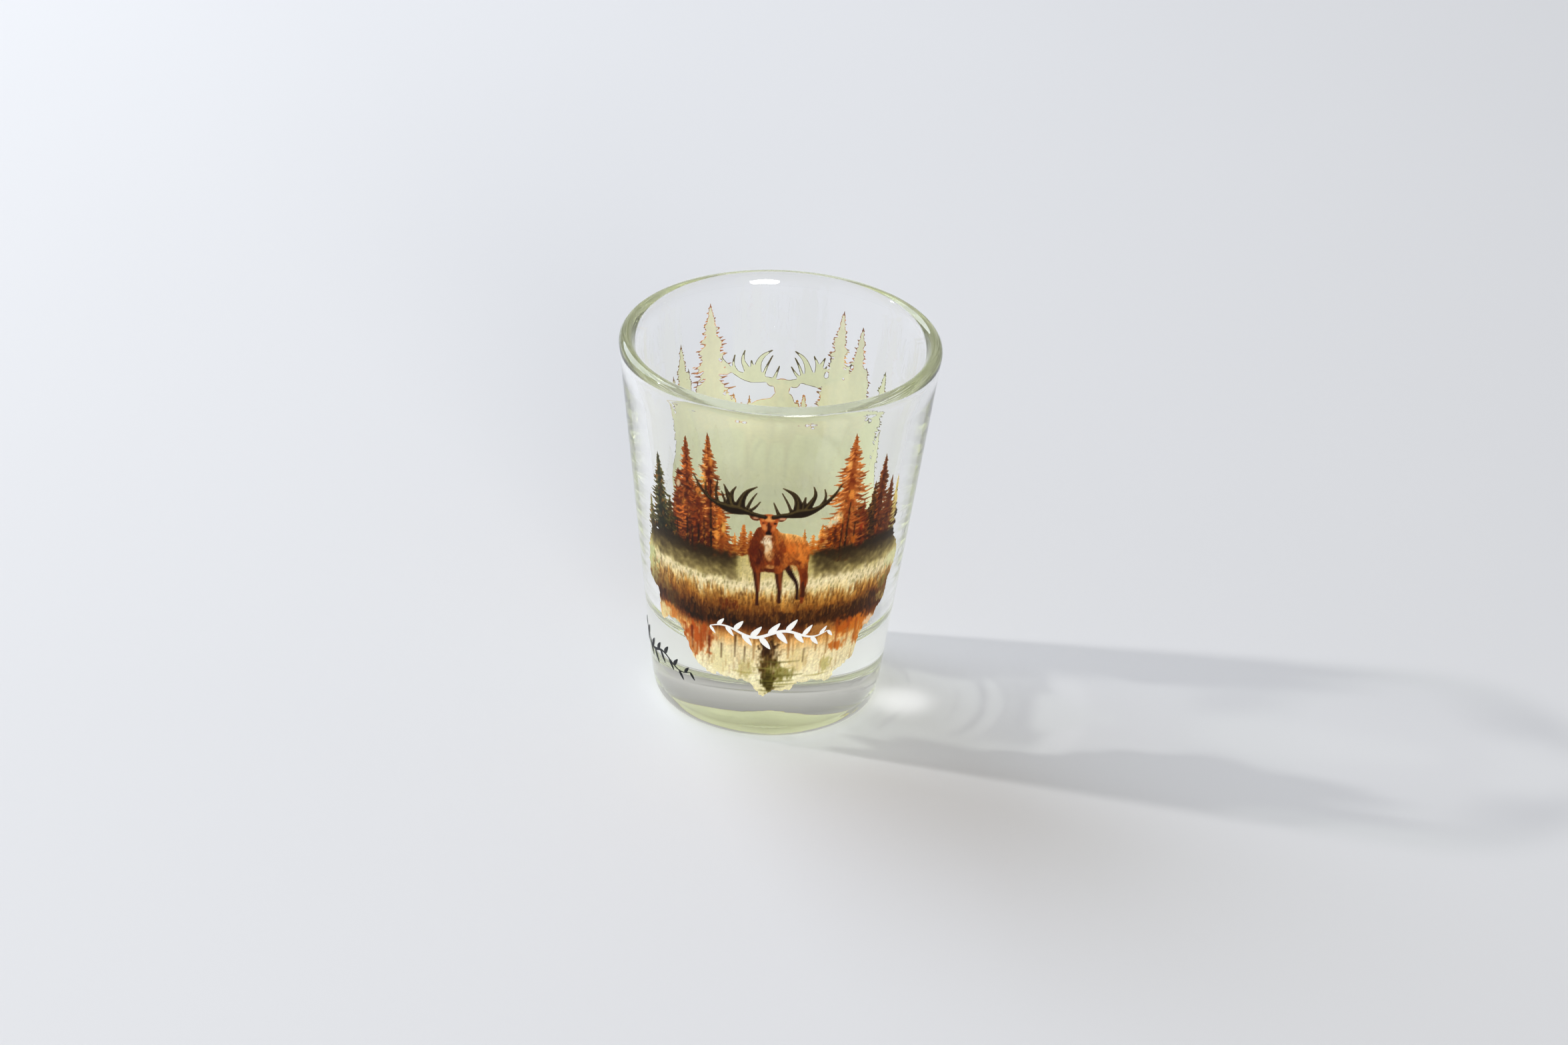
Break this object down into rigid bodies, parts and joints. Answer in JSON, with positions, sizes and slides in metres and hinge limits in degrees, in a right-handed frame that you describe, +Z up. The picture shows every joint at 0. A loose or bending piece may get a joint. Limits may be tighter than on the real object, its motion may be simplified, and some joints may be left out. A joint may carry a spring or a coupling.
{
  "type": "shot glass",
  "caption": "Tapered pressed glass tumbler with a thick base and a rounded lip, with a forest scene printed on the front and on the back, for small drinks.",
  "frame": {"origin": "middle of the base, at the surface the glass stands on", "axes": "+Z up along the axis of the glass, -Y towards the front print, +X to the right of the front print"},
  "size_m": [0.049, 0.049, 0.0608],
  "materials": {
    "clear_glass": "clear soda-lime glass, fire polished, with a pale green tint where it is thick",
    "white_ink": "opaque white printing ink, cured, satin",
    "autumn_ink": "full-colour printing ink in rust, straw and dark brown, cured, satin",
    "black_ink": "opaque black printing ink, cured, satin"
  },
  "bodies": {
    "root": {"glass_body": "clear_glass", "front_white_base": "white_ink", "front_colour_print": "autumn_ink", "front_white_sprig": "white_ink", "rear_white_base": "white_ink", "rear_colour_print": "autumn_ink", "rear_white_sprig": "white_ink", "side_black_sprig": "black_ink"}
  },
  "joints": []
}
